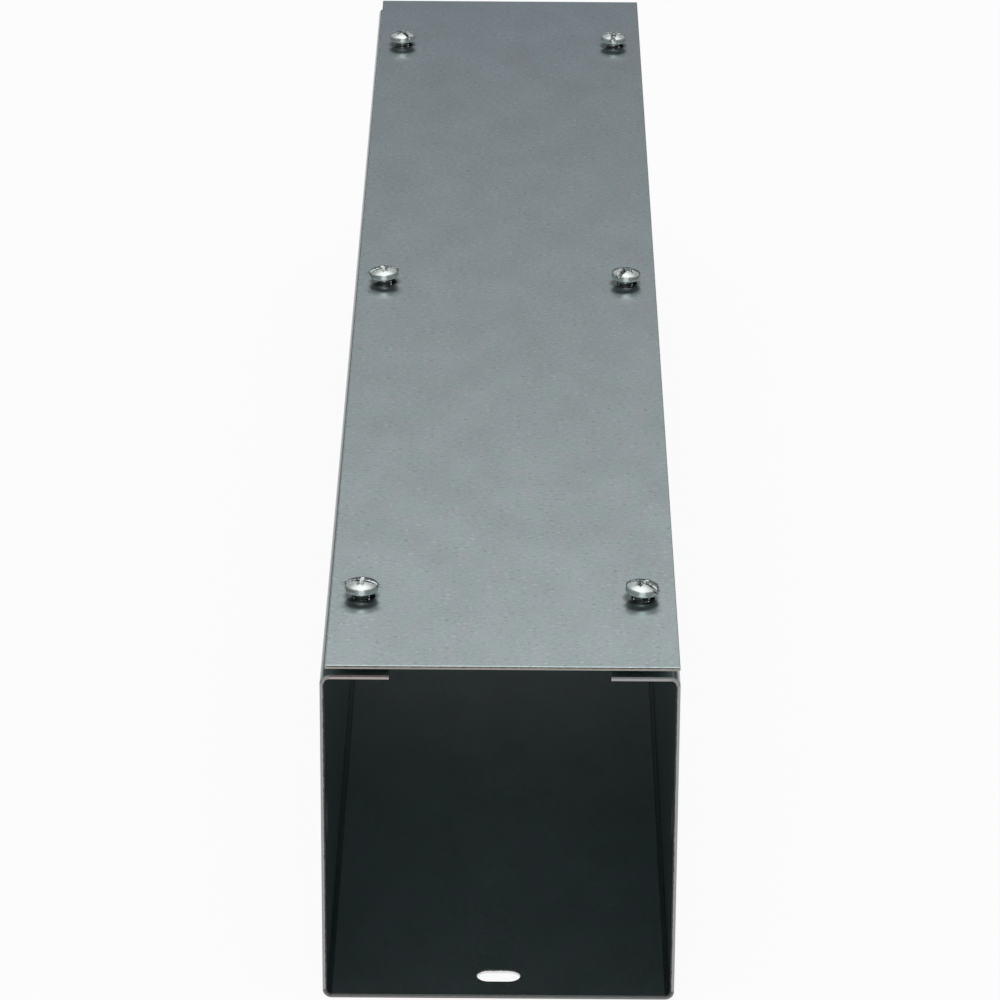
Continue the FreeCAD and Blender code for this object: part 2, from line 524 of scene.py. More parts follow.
def sheet_from(tree, blank, thickness):
    """A slab of sheet: the outer face at zero, the inner face one thickness higher, edges marked."""
    place = here(tree)
    lift = {"Mesh": blank, "Offset": (0.0, 0.0, 1.0), "Offset Scale": thickness, "Individual": False}
    raised = add_node(tree, "GeometryNodeExtrudeMesh", lift).outputs
    marked = stored(tree, raised["Mesh"], "sheared", raised["Side"], "BOOLEAN", "FACE")
    marked = stored(tree, marked, "punched", well_inside(tree, blank, place), "FLOAT", "FACE")
    slab = welded(tree, [marked, turned_over(tree, blank)])

    through = calc(tree, "DIVIDE", axes_of(tree, place)["Z"], thickness)
    slab = stored(tree, slab, "through", through, "FLOAT", "POINT")
    slab = stored(tree, slab, "blank", place, "FLOAT_VECTOR", "POINT")

    angle = add_node(tree, "GeometryNodeInputMeshEdgeAngle").outputs["Unsigned Angle"]
    is_sharp = calc(tree, "GREATER_THAN", angle, sharp_angle)
    weight = calc(tree, "MULTIPLY", is_sharp, spread(tree, through, 0.0, 1.0, 1.0, burr_side_weight))
    return stored(tree, slab, "bevel_weight_edge", weight, "FLOAT", "EDGE")


print("notes on every cut:", ", ".join(cut_notes))

# %% [markdown]
# Every sheet ends in the same way: it is scaled to metres, shaded smooth, made real geometry and coated with
# zinc. Then the faces that were sheared or punched get the bare steel, which the slab's notes make easy.

# %% Finish a sheet


def finished_sheet(tree, slab):
    """Metres instead of millimetres, smooth shading, and the two finishes of a sheet."""
    metres = moved(tree, slab, Scale=(MM, MM, MM))
    smooth = add_node(tree, "GeometryNodeSetShadeSmooth", {"Geometry": metres}).outputs[0]
    is_sheared = add_node(tree, "GeometryNodeInputNamedAttribute", {"Name": "sheared"}, data_type="BOOLEAN")
    coated = painted(tree, realised(tree, smooth), galvanised)
    return painted(tree, coated, sheared, is_sheared.outputs[0])


print("finishes of a sheet:", galvanised.name, "and, where it was cut,", sheared.name)

# %% [markdown]
# The trough's section is one bent line: lip, wall, floor, wall and lip. A curve can hold it as six corners with
# rounded bends. An Index Switch gives each point of a plain line its own corner, so the corners stay tied to
# the named sizes, which a curve drawn by hand would not.

# %% Section of the trough
section_steps = 64


def picked(tree, index, values, data_type="FLOAT"):
    """One of several values, picked by a whole number."""
    switch = add_node(tree, "GeometryNodeIndexSwitch", data_type=data_type)
    for _ in values[2:]:
        switch.index_switch_items.new()
    feed(tree, switch, {"Index": index, **{str(number): value for number, value in enumerate(values)}})
    return switch.outputs[0]


def rounded_line(tree, corners, rounds, steps):
    """A line through these corners, each with its own radius."""
    index = add_node(tree, "GeometryNodeInputIndex").outputs[0]
    line = add_node(tree, "GeometryNodeCurvePrimitiveLine").outputs[0]
    points = add_node(tree, "GeometryNodeResampleCurve", {"Curve": line, "Count": len(corners)}).outputs[0]
    sharp = placed(tree, points, Position=picked(tree, index, corners, "VECTOR"))
    return rounded(tree, sharp, steps, picked(tree, index, rounds))


def section_curve(tree, half_width, height, lip_tip, radius):
    """The outside of the trough's section, from lip tip to lip tip, with rounded bends."""
    left = calc(tree, "MULTIPLY", half_width, -1.0)
    left_tip = calc(tree, "MULTIPLY", lip_tip, -1.0)
    corners = [
        xyz(tree, left_tip, 0.0, height),
        xyz(tree, left, 0.0, height),
        xyz(tree, left, 0.0, 0.0),
        xyz(tree, half_width, 0.0, 0.0),
        xyz(tree, half_width, 0.0, height),
        xyz(tree, lip_tip, 0.0, height),
    ]
    return rounded_line(tree, corners, [radius] * len(corners), section_steps)


print("each bend of the section has", section_steps, "steps")

# %% [markdown]
# The blank is laid out from left to right: lip, wall, floor, wall and lip, and between each two a narrow strip
# that will be bent. A flat panel needs no points but its outlines, while a bend needs a grid of many columns,
# because a mesh can only bend where it has edges.
# Each strip carries the tones of its cut edge: next to the outer face, next to the inner face, how deep one
# becomes the other, and in its holes.

# %% Blank of the trough
bend_steps = 16
slots_per_panel = 2
# Painted shade: darker outer bands along the bottom. Painted light: a near white band in the floor's slots.
dim_hole = (0.12, 0.12, 0.12)
painted_light_hole = (0.85, 0.85, 0.85)
left_lip_cut = ((0.12, 0.085, 0.08), (0.42, 0.39, 0.38), 0.4, dim_hole)
right_lip_cut = ((0.2, 0.2, 0.2), (0.39, 0.385, 0.38), 0.4, dim_hole)
wall_cut = ((0.36, 0.36, 0.36), (0.05, 0.05, 0.05), 0.68, dim_hole)
upper_bend_cut = ((0.26, 0.26, 0.26), (0.3, 0.29, 0.285), 0.4, dim_hole)
lower_bend_cut_shade = ((0.2, 0.2, 0.2), (0.08, 0.08, 0.08), 0.55, dim_hole)
floor_cut_shade_and_light = ((0.21, 0.21, 0.21), (0.11, 0.11, 0.11), 0.55, painted_light_hole)


def end_slots(tree, size):
    """The slots of a panel, one near each end."""
    slot = punched_slot(tree, size["Slot length"], size["Slot width"])
    spacing = calc(tree, "MULTIPLY_ADD", size["Slot margin"], -2.0, size["Length"])
    return row_of(tree, slot, slots_per_panel, spacing)


def lip_holes(tree, size):
    """The rows of screw holes in the left and in the right lip."""
    hole = round_hole(tree, size["Screw hole"])
    lip_middle = calc(tree, "MULTIPLY", calc(tree, "ADD", size["Lip"], size["Bend radius"]), 0.5)
    outwards = calc(tree, "SUBTRACT", lip_middle, size["Screw inset"])
    return [
        row_of(tree, hole, screws_per_row, size["Screw spacing"], across, size["Screw middle"])
        for across in (outwards, calc(tree, "MULTIPLY", outwards, -1.0))
    ]


def strip_of(tree, width, length, holes, cut):
    """A flat panel with its holes, or, where there are none, a grid that will be bent."""
    if holes:
        return noted(tree, punched_panel(tree, width, length, [holes]), cut)
    columns = {"Size X": width, "Size Y": length, "Vertices X": bend_steps + 1, "Vertices Y": 2}
    return noted(tree, add_node(tree, "GeometryNodeMeshGrid", columns).outputs[0], cut, 1.0)


def blank_of(tree, size):
    """The flat blank of the trough, from the left lip's tip to the right lip's tip."""
    both_bends = calc(tree, "MULTIPLY", size["Bend radius"], 2.0)
    bend = calc(tree, "MULTIPLY", size["Bend radius"], math.pi / 2)
    lip = calc(tree, "SUBTRACT", size["Lip"], size["Bend radius"])
    wall = calc(tree, "SUBTRACT", size["Height"], both_bends)
    floor = calc(tree, "SUBTRACT", size["Width"], both_bends)
    slots = end_slots(tree, size)
    left_holes, right_holes = lip_holes(tree, size)
    strips = []
    start = 0.0
    for width, holes, cut in (
        (lip, left_holes, left_lip_cut),
        (bend, None, upper_bend_cut),
        (wall, slots, wall_cut),
        (bend, None, lower_bend_cut_shade),
        (floor, slots, floor_cut_shade_and_light),
        (bend, None, lower_bend_cut_shade),
        (wall, slots, wall_cut),
        (bend, None, upper_bend_cut),
        (lip, right_holes, right_lip_cut),
    ):
        strip = strip_of(tree, width, size["Length"], holes, cut)
        middle = calc(tree, "MULTIPLY_ADD", width, 0.5, start)
        strips.append(moved(tree, strip, Translation=xyz(tree, middle)))
        start = calc(tree, "ADD", start, width)
    return welded(tree, strips)


print("each bend of the blank has", bend_steps, "columns")

# %% [markdown]
# Bending is a rule: a point that lies some way across the blank goes to the point that lies as far along
# the trough's section. Sample Curve does the walking. A point's depth in the sheet becomes a step inwards.
# Modelling the bent shape by hand would also work, but this way the thickness is exact everywhere and the
# pattern on the blank bends with it.

# %% Bend the trough
bend_radius = 2.7
screw_hole = 4.9
along_trough = (0.0, 1.0, 0.0)


def folded(tree, slab, section):
    """The slab wrapped along the section: across the blank becomes along the section."""
    axes = axes_of(tree, here(tree))
    walk = {"Curves": section, "Length": axes["X"]}
    reached = add_node(tree, "GeometryNodeSampleCurve", walk, mode="LENGTH", use_all_curves=True).outputs
    inwards = vector_calc(tree, "CROSS_PRODUCT", reached["Tangent"], along_trough)
    step = vector_calc(tree, "SCALE", inwards, axes["Z"])
    offset = vector_calc(tree, "ADD", step, xyz(tree, 0.0, axes["Y"]))
    return placed(tree, slab, Position=reached["Position"], Offset=offset)


def trough_from(tree, size):
    """The blank, thickened, then folded along its section."""
    half_width = calc(tree, "MULTIPLY", size["Width"], 0.5)
    tip = calc(tree, "SUBTRACT", half_width, size["Lip"])
    section = section_curve(tree, half_width, size["Height"], tip, size["Bend radius"])
    slab = sheet_from(tree, blank_of(tree, size), size["Sheet"])
    return finished_sheet(tree, folded(tree, slab, section))


trough = grow("trough_sheet", trough_from, {
    "Width": trough_width,
    "Height": trough_height,
    "Length": trough_length,
    "Sheet": sheet,
    "Lip": lip_width,
    "Bend radius": bend_radius,
    "Slot length": slot_length,
    "Slot width": slot_width,
    "Slot margin": slot_margin,
    "Screw hole": screw_hole,
    "Screw spacing": screw_spacing,
    "Screw middle": screw_middle,
    "Screw inset": trough_width / 2 - screw_across,
})

# %% [markdown]
# Round forms are made on a lathe, and a lathe is easy to imitate: a grid is rolled up around the axis,
# and each of its rows takes its radius and height from one point of a profile.
# The rings round the cover's holes and the heads of the screws are both turned this way.

# %% Lathe
around = hole_steps


def rolled_up(tree, grid, turn, radius, height):
    """A grid whose points go to these shares of a turn, radii and heights around the axis."""
    angle = calc(tree, "MULTIPLY", turn, 2 * math.pi)
    x = calc(tree, "MULTIPLY", radius, calc(tree, "COSINE", angle))
    y = calc(tree, "MULTIPLY", radius, calc(tree, "SINE", angle))
    return placed(tree, grid, Position=xyz(tree, x, y, height))


def unit_grid(tree, rows):
    """A grid with whole-number places. Gives its mesh, each point's share of a turn, and its row."""
    last_row = calc(tree, "SUBTRACT", rows, 1.0)
    cells = {"Size X": float(around), "Size Y": last_row, "Vertices X": around + 1, "Vertices Y": rows}
    grid = add_node(tree, "GeometryNodeMeshGrid", cells).outputs[0]
    axes = axes_of(tree, here(tree))
    turn = calc(tree, "MULTIPLY_ADD", axes["X"], 1 / around, 0.5)
    row = calc(tree, "ROUND", calc(tree, "MULTIPLY_ADD", last_row, 0.5, axes["Y"]))
    return grid, turn, row


def lathed(tree, profile):
    """A profile in the XZ plane, from the top outwards and down, turned around the Z axis."""
    points = add_node(tree, "GeometryNodeResampleCurve", {"Curve": profile}, mode="EVALUATED").outputs[0]
    count = add_node(tree, "GeometryNodeAttributeDomainSize", {"Geometry": points}, component="CURVE")
    grid, turn, row = unit_grid(tree, count.outputs["Point Count"])
    pick = {"Geometry": points, "Value": here(tree), "Index": row}
    corner = add_node(tree, "GeometryNodeSampleIndex", pick, data_type="FLOAT_VECTOR", domain="POINT").outputs[0]
    axes = axes_of(tree, corner)
    return turned_over(tree, rolled_up(tree, grid, turn, axes["X"], axes["Z"]))


print("lathe with", around, "steps around")

# %% [markdown]
# The cover is one more punched panel, sheared on all four sides, so it uses the same helpers.
# Its outer face is the top one, so the slab is turned over before it goes to its place.
# Under each head the cover gets painted shade, which fades out a little past the head's rim. A big flat face
# has no points there to carry such a note. So each hole is first left open a little wider than a head, and a
# fine ring with a note on its points fills it up to the real hole. The cover has slipped sideways, so the dark
# rings lie a little off its holes.

# %% Cut the cover
cover_hole = 6.4
ring_width = 13.4
ring_steps = 12
under_head_shade_width = 11.4
under_head_shade_fade = 1.4
cover_cut = ((0.04, 0.036, 0.034), (0.36, 0.325, 0.295), 0.45, dim_hole)


def rubbed_ring(tree, hole, width, slip):
    """A flat ring round a hole, with a note of the painted shade under a head that lies off by the slip."""
    inner = calc(tree, "MULTIPLY", hole, 0.5)
    outer = calc(tree, "MULTIPLY", width, 0.5)
    ends = {"Start": xyz(tree, inner), "End": xyz(tree, outer)}
    line = add_node(tree, "GeometryNodeCurvePrimitiveLine", ends).outputs[0]
    steps = {"Curve": line, "Count": ring_steps + 1}
    ring = lathed(tree, add_node(tree, "GeometryNodeResampleCurve", steps).outputs[0])
    radius = vector_calc(tree, "DISTANCE", here(tree), xyz(tree, slip))
    under_head_shade = spread(tree, radius, under_head_shade_width / 2 - under_head_shade_fade, under_head_shade_width / 2, 1.0, 0.0)
    return stored(tree, ring, "under_head_shade", under_head_shade, "FLOAT", "POINT")


def cover_from(tree, size):
    """A flat panel with two rows of screw holes, thickened and put in its place."""
    opening = round_hole(tree, size["Ring width"])
    ring = rubbed_ring(tree, size["Screw hole"], size["Ring width"], size["Shift"])
    openings, rings = [], []
    for side in (-0.5, 0.5):
        across = calc(tree, "MULTIPLY", size["Row distance"], side)
        row = (screws_per_row, size["Screw spacing"], across, size["Screw middle"])
        openings.append(row_of(tree, opening, *row))
        rings.append(row_of(tree, ring, *row))
    panel = punched_panel(tree, size["Width"], size["Length"], openings)
    blank = noted(tree, welded(tree, [panel, *rings]), cover_cut)
    slab = moved(tree, sheet_from(tree, blank, size["Sheet"]), Rotation=(0.0, math.pi, 0.0))
    return finished_sheet(tree, moved(tree, slab, Translation=xyz(tree, size["Shift"], 0.0, size["Top"])))


cover = grow("cover_sheet", cover_from, {
    "Width": cover_size.x,
    "Length": cover_size.y,
    "Sheet": sheet,
    "Top": cover_low.z + cover_size.z,
    "Shift": cover_low.x + cover_size.x / 2,
    "Screw hole": cover_hole,
    "Ring width": ring_width,
    "Screw spacing": screw_spacing,
    "Screw middle": screw_middle,
    "Row distance": 2 * screw_across,
})

# %% [markdown]
# A real sheared edge is never a knife edge, and the thin light line along it comes from its roll.
# A Bevel modifier that follows the stored weights rounds the rims, and Weighted Normal keeps the big flat
# faces flat in shading, so that only the bends and the rolled rims curve.

# %% Roll the sheared edges
edge_roll = 0.3
roll_steps = 2
flat_face_weight = 100


def rolled(piece, name, width):
    """A Bevel modifier on the weighted edges of a piece."""
    bevel = piece.modifiers.new(name, "BEVEL")
    bevel.limit_method = "WEIGHT"
    bevel.width = width * MM
    bevel.segments = roll_steps
    print(f"{piece.name}: edges rolled by {width} mm")
    return bevel


for piece in (trough, cover):
    rims = rolled(piece, "rolled_edges", edge_roll)
    rims.material = piece.data.materials.find(galvanised.name)
    normals = piece.modifiers.new("flat_faces", "WEIGHTED_NORMAL")
    normals.weight = flat_face_weight

# %% [markdown]
# The screws are machine screws with a pan head: a low dome on a short rim, with a driver slot and a cross.
# The thread follows a rule: the same rolled grid, but each row climbs one pitch a turn, and four rows make one
# turn of the profile, crest, flank, root and flank. Under the head it runs out into a plain neck.

# %% Thread
thread_phases = (0.0, 0.25, 0.45, 0.8)
thread_run_out = 0.8


def threaded(tree, crest, root, neck, tip, length, pitch):
    """A threaded shank that hangs down from zero, with a plain neck on top and a chamfered tip."""
    rows_a_turn = float(len(thread_phases))
    bottom = calc(tree, "MULTIPLY", length, -1.0)
    turns = calc(tree, "CEIL", calc(tree, "DIVIDE", length, pitch))
    rows = calc(tree, "MULTIPLY_ADD", calc(tree, "ADD", turns, 2.0), rows_a_turn, 1.0)
    grid, turn, row = unit_grid(tree, rows)
    full_turns = calc(tree, "FLOOR", calc(tree, "DIVIDE", row, rows_a_turn))
    step = calc(tree, "FLOORED_MODULO", row, rows_a_turn)
    phase = picked(tree, step, thread_phases)
    climb = calc(tree, "ADD", calc(tree, "ADD", full_turns, phase), calc(tree, "SUBTRACT", turn, 1.0))
    height = calc(tree, "SUBTRACT", calc(tree, "MULTIPLY", climb, pitch), length)
    height = calc(tree, "MAXIMUM", calc(tree, "MINIMUM", height, 0.0), bottom)

    radius = picked(tree, step, (crest, crest, root, root))
    chamfer = calc(tree, "ADD", tip, calc(tree, "ADD", height, length))
    radius = calc(tree, "MINIMUM", radius, chamfer)
    plain = spread(tree, height, -thread_run_out, -thread_run_out / 4, 0.0, 1.0)
    change = calc(tree, "MULTIPLY", calc(tree, "SUBTRACT", neck, radius), plain)
    shank = rolled_up(tree, grid, turn, calc(tree, "ADD", radius, change), height)
    circle = {"Vertices": around, "Radius": tip}
    disc = add_node(tree, "GeometryNodeMeshCircle", circle, fill_type="NGON").outputs[0]
    end = turned_over(tree, moved(tree, disc, Translation=xyz(tree, 0.0, 0.0, bottom)))
    return joined(tree, [shank, end])


print("thread with", len(thread_phases), "rows a turn")

# %% [markdown]
# The head is turned in two runs, the dome and the side, which are welded along their shared ring.
# The dome is part of a sphere. An arc through three of its points gives its profile, and a rounded line the side.

# %% Head
dome_share = 0.93
dome_steps = 12
rim_round = 0.3
rim_draft = 0.2
seat_round = 0.45
side_steps = 6


def head_of_screw(tree, radius, height, rim, neck):
    """A domed head above zero, open at the neck."""
    rise = calc(tree, "SUBTRACT", height, rim)
    square = calc(tree, "ADD", calc(tree, "MULTIPLY", radius, radius), calc(tree, "MULTIPLY", rise, rise))
    sphere = calc(tree, "DIVIDE", square, calc(tree, "MULTIPLY", rise, 2.0))

    def dome_point(share):
        """The point of the dome at this share of the head's radius."""
        out = calc(tree, "MULTIPLY", radius, share)
        rest = calc(tree, "SUBTRACT", calc(tree, "MULTIPLY", sphere, sphere), calc(tree, "MULTIPLY", out, out))
        sink = calc(tree, "SUBTRACT", sphere, calc(tree, "SQRT", rest))
        return xyz(tree, out, 0.0, calc(tree, "SUBTRACT", height, sink))

    dome_end = dome_point(dome_share)
    arc = {"Resolution": dome_steps, "Start": dome_point(0.0), "Middle": dome_point(0.5), "End": dome_end}
    dome = add_node(tree, "GeometryNodeCurveArc", arc, mode="POINTS").outputs[0]
    rim_top = xyz(tree, calc(tree, "SUBTRACT", radius, rim_draft), 0.0, rim)
    corners = [dome_end, rim_top, xyz(tree, radius), xyz(tree, neck)]
    side = rounded_line(tree, corners, [0.0, rim_round, seat_round, 0.0], side_steps)
    return joined(tree, [lathed(tree, dome), lathed(tree, side)])


print(f"rim rounded by {rim_round} mm, seat by {seat_round} mm")

# %% [markdown]
# The driver slot and the cross are cut out with a boolean: here it is the natural tool, because the real
# recess is pressed into the finished head too. Each cutter is a cube that is stretched by a rule, and the arms
# of the cross taper towards the bottom.

# %% Drive
drive_width = 1.2
slot_depth = 1.5
slot_reach = 2.5
cross_span = 4.8
cross_width = 1.18
cross_depth = 2.2
cross_taper = 0.6


def drive_arm(tree, span, width, depth, taper, head_height, turn):
    """One arm of the drive, as a cutter that narrows towards its bottom."""
    cube = add_node(tree, "GeometryNodeMeshCube").outputs[0]
    axes = axes_of(tree, here(tree))
    narrowing = spread(tree, axes["Z"], -0.5, 0.5, taper, 2.0 - taper)
    x = calc(tree, "MULTIPLY", axes["X"], calc(tree, "MULTIPLY", narrowing, span))
    y = calc(tree, "MULTIPLY", axes["Y"], width)
    z = calc(tree, "MULTIPLY_ADD", axes["Z"], 2.0 * depth, head_height)
    return moved(tree, placed(tree, cube, Position=xyz(tree, x, y, z)), Rotation=(0.0, 0.0, turn))


def drive_cutters(tree, radius, head_height):
    """The slot, which reaches past the rim on both sides, and the two arms of the cross."""
    slot_span = calc(tree, "MULTIPLY", radius, slot_reach)
    slot = drive_arm(tree, slot_span, drive_width, slot_depth, 1.0, head_height, 0.0)
    cross = (cross_span, cross_width, cross_depth, cross_taper, head_height)
    return [slot, *(drive_arm(tree, *cross, turn) for turn in (0.0, math.pi / 2))]


print(f"drive {drive_width} wide, slot {slot_depth} deep, cross {cross_span} across and {cross_depth} deep")

# %% [markdown]
# One screw is a head and a shank, welded, with the drive cut out.
# Pressed edges are round, and catch the light as thin bright lines, so the outer edges of the recess get a
# bevel weight. Gentle edges are shaded smooth, and the thread's crests keep their creases.

# %% One screw
crease_angle = math.radians(32)


def one_screw(tree, size):
    """A screw that stands on zero with its head above, in millimetres."""
    head = head_of_screw(tree, size["Head radius"], size["Head height"], size["Rim height"], size["Neck"])
    shank_sizes = (size[name] for name in ("Crest", "Root", "Neck", "Tip", "Shank", "Pitch"))
    blank = welded(tree, [head, threaded(tree, *shank_sizes)])
    cut = add_node(tree, "GeometryNodeMeshBoolean", {"Mesh 1": blank}, operation="DIFFERENCE", solver="EXACT")
    for cutter in drive_cutters(tree, size["Head radius"], size["Head height"]):
        tree.links.new(cutter, cut.inputs["Mesh 2"])
    bends = add_node(tree, "GeometryNodeInputMeshEdgeAngle").outputs
    outer_edge = calc(tree, "GREATER_THAN", bends["Signed Angle"], sharp_angle)
    on_head = calc(tree, "GREATER_THAN", axes_of(tree, here(tree))["Z"], seat_round)
    weight = calc(tree, "MULTIPLY", outer_edge, on_head)
    screw = stored(tree, cut.outputs[0], "bevel_weight_edge", weight, "FLOAT", "EDGE")
    gentle = calc(tree, "LESS_THAN", bends["Unsigned Angle"], crease_angle)
    smooth = add_node(tree, "GeometryNodeSetShadeSmooth", {"Geometry": screw}).outputs[0]
    creased = {"Geometry": smooth, "Shade Smooth": gentle}
    return add_node(tree, "GeometryNodeSetShadeSmooth", creased, domain="EDGE").outputs[0]


print(f"edges over {math.degrees(crease_angle):.0f} degrees stay creased")

# %% [markdown]
# Each screw is turned as far as it happened to go, and a few lean a little to a side.
# Six screws could be turned by hand, one by one, but notes on six points keep it in one place: every point is
# the foot of a screw, on the top of a lip, and carries its turn and its lean, in degrees here.

# %% Turns and leans
turns_and_leans = {
    "cover_screw_left_1": (-8.0, 0.0),
    "cover_screw_left_2": (13.0, -3.0),
    "cover_screw_left_3": (-55.0, 0.0),
    "cover_screw_right_1": (-33.0, 4.0),
    "cover_screw_right_2": (58.0, 3.0),
    "cover_screw_right_3": (85.0, 1.0),
}


def screw_points():
    """One point for each screw, on the top of the lip, with its turn and its lean."""
    mesh = bpy.data.meshes.new("screw_points")
    feet = [Vector((place.x, place.y, trough_height)) * MM for place in screw_places.values()]
    mesh.from_pydata(feet, [], [])
    turn = mesh.attributes.new("turn", "FLOAT", "POINT")
    lean = mesh.attributes.new("lean", "FLOAT_VECTOR", "POINT")
    for index, node in enumerate(screw_nodes):
        turned, leaned = turns_and_leans[node]
        turn.data[index].value = math.radians(turned)
        lean.data[index].vector = (0.0, math.radians(leaned), 0.0)
    return mesh


screw_feet = screw_points()
print("points for screws:", len(screw_feet.vertices))

# %% [markdown]
# Instance on Points puts a copy of one screw on each point, with that point's turn and lean.
# The screw is cut once and copied six times, so the slow boolean runs only once.
# The faces that look down, which are the underside of the head and the tip, get the rougher copy, darkened as
# painted shade.

# %% Set the screws
head_radius = 5.0
head_height = 3.1
head_rim = 1.8
thread_crest = 2.4
thread_root = 1.93
thread_neck = 2.15
thread_tip = 1.75
thread_pitch = 0.794
recess_round = 0.26
looking_down = -0.6


def screws_from(tree, size):
    """Copies of one screw, one for every point, with that point's turn and lean."""
    standing = moved(tree, one_screw(tree, size), Translation=xyz(tree, 0.0, 0.0, size["Stand"]))
    turn = add_node(tree, "GeometryNodeInputNamedAttribute", {"Name": "turn"}).outputs[0]
    lean = add_node(tree, "GeometryNodeInputNamedAttribute", {"Name": "lean"}, data_type="FLOAT_VECTOR").outputs[0]
    upright = add_node(tree, "FunctionNodeAxisAngleToRotation", {"Axis": (0.0, 0.0, 1.0), "Angle": turn}).outputs[0]
    leaning = add_node(tree, "FunctionNodeRotateRotation", {"Rotation": upright, "Rotate By": lean}).outputs[0]
    copies = add_node(tree, "GeometryNodeInstanceOnPoints", {
        "Points": size["Geometry"],
        "Instance": standing,
        "Rotation": leaning,
        "Scale": (MM, MM, MM),
    }).outputs[0]
    bright = painted(tree, realised(tree, copies), plated)
    facing = axes_of(tree, add_node(tree, "GeometryNodeInputNormal").outputs[0])
    return painted(tree, bright, shaded_plating, calc(tree, "LESS_THAN", facing["Z"], looking_down))


screws = grow("cover_screw_set", screws_from, {
    "Head radius": head_radius,
    "Head height": head_height,
    "Rim height": head_rim,
    "Stand": screw_top - head_height - trough_height,
    "Crest": thread_crest,
    "Root": thread_root,
    "Neck": thread_neck,
    "Tip": thread_tip,
    "Pitch": thread_pitch,
    "Shank": screw_size.z - head_height,
}, screw_feet)
rolled(screws, "pressed_edges", recess_round).use_clamp_overlap = False

# %% [markdown]
# Each new piece now takes the place of the imported pieces that it shows, and rides on the root body.
# The six screws are one mesh, so one piece stands for six packed ones.

# %% Take the place of the imported pieces
for piece, nodes, slot in (
    (trough, ["trough"], "galvanised_sheet"),
    (cover, ["cover"], "galvanised_sheet"),
    (screws, screw_nodes, "zinc_screw"),
):
    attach(piece, "root")
    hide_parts(*nodes)
    print(piece.name, "stands for", ", ".join(nodes))

# %% [markdown]
# The floor is plain white paper. A white floor under plain light is a little grey in a picture, so its
# material also glows a little for the rays that look at it, which lifts it to white and still lets the
# object's shadow show. It lies a hair below the trough, so that the two faces don't flicker.

# %% Floor
paper_white = 0.93
floor_glow = 0.92
floor_reach = 10.0
floor_gap = 0.0002


def paper_finish(name):
    """White paper that keeps its shadow."""
    material, tree, _ = new_finish(name)
    tree.nodes.clear()
    paper = add_node(tree, "ShaderNodeBsdfDiffuse", {"Color": (paper_white, paper_white, paper_white, 1.0)})
    glow = add_node(tree, "ShaderNodeEmission", {"Strength": 1.0})
    rays = add_node(tree, "ShaderNodeLightPath").outputs
    looking = calc(tree, "MAXIMUM", rays["Is Camera Ray"], rays["Is Glossy Ray"])
    looking = calc(tree, "MAXIMUM", looking, rays["Is Transmission Ray"])
    share = calc(tree, "MULTIPLY", looking, floor_glow)
    mixed = add_node(tree, "ShaderNodeMixShader", {0: share, 1: paper.outputs[0], 2: glow.outputs[0]})
    add_node(tree, "ShaderNodeOutputMaterial", {"Surface": mixed.outputs[0]})
    return material


def flat_card(name, corners, material):
    """A four-cornered card for the stage, in metres."""
    mesh = bpy.data.meshes.new(name)
    mesh.from_pydata(corners, [], [(0, 1, 2, 3)])
    mesh.materials.append(material)
    card = bpy.data.objects.new(name, mesh)
    bpy.context.scene.collection.objects.link(card)
    return card


floor_corners = [(x * floor_reach, y * floor_reach, -floor_gap) for x, y in ((-1, -1), (1, -1), (1, 1), (-1, 1))]
flat_card("floor", floor_corners, paper_finish("white_paper"))
print("floor", 2 * floor_reach, "m wide")

# %% [markdown]
# Sheet metal shows what stands around it, so most of its look comes from the light.
# Behind the object stands a wall that is dark near the floor and lighter higher up, and the ceiling is bright.
# The flat cover mirrors the height where that wall turns from dark to light, which gives it its smooth fall
# from light to dark. In front, near the floor, the room is lighter, which shows in the rims of the screws.
# A world shader can hold all this: one colour ramp over the height for the back, one for the front, and a
# blend. Towards both sides the walls grow a little dimmer, which makes the screw heads look round.
# Each step of a ramp is a height, from 0 at the horizon to 1 straight up, with its brightness and its tint.

# %% Light all round
sky_peak = 1.4
plain = (1.0, 1.0, 1.0)
cool = (0.965, 1.0, 1.12)
upper_steps = (
    (0.52, 0.58, plain), (0.64, 0.55, plain), (0.75, 0.80, plain), (0.85, 1.35, plain), (1.0, sky_peak, plain),
)
back_steps = (
    (0.0, 0.05, cool), (0.2, 0.10, cool), (0.306, 0.295, cool), (0.36, 0.465, plain), (0.40, 0.588, plain),
    (0.429, 0.86, plain), *upper_steps,
)
front_steps = ((0.0, 0.36, plain), (0.2, 0.32, plain), (0.306, 0.40, plain), (0.429, 0.6, plain), *upper_steps)
front_starts, front_ends = 0.2, -0.3
dim_starts, dim_ends, dim_share = 0.15, 0.4, 0.7


def height_ramp(tree, height, steps):
    """Brightness over the height of a direction, as shares of the peak."""
    ramp = add_node(tree, "ShaderNodeValToRGB", {"Fac": height})
    stops = ramp.color_ramp.elements
    while len(stops) < len(steps):
        stops.new(1.0)
    for stop, (position, level, tint) in zip(stops, steps):
        stop.position = position
        stop.color = [level / sky_peak * channel for channel in tint] + [1.0]
    return ramp.outputs["Color"]


def studio_sky():
    """A world with a dark low back, a lighter low front, light walls and a bright ceiling."""
    world = bpy.data.worlds.new("studio")
    world.use_nodes = True
    tree = world.node_tree
    axes = axes_of(tree, add_node(tree, "ShaderNodeTexCoord").outputs["Generated"])
    back = height_ramp(tree, axes["Z"], back_steps)
    front = height_ramp(tree, axes["Z"], front_steps)
    in_front = spread(tree, axes["Y"], front_starts, front_ends, 0.0, 1.0)
    sideways = calc(tree, "ABSOLUTE", axes["X"])
    feed(tree, tree.nodes["Background"], {
        "Color": blended(tree, in_front, back, front),
        "Strength": spread(tree, sideways, dim_starts, dim_ends, sky_peak, sky_peak * dim_share),
    })
    return world


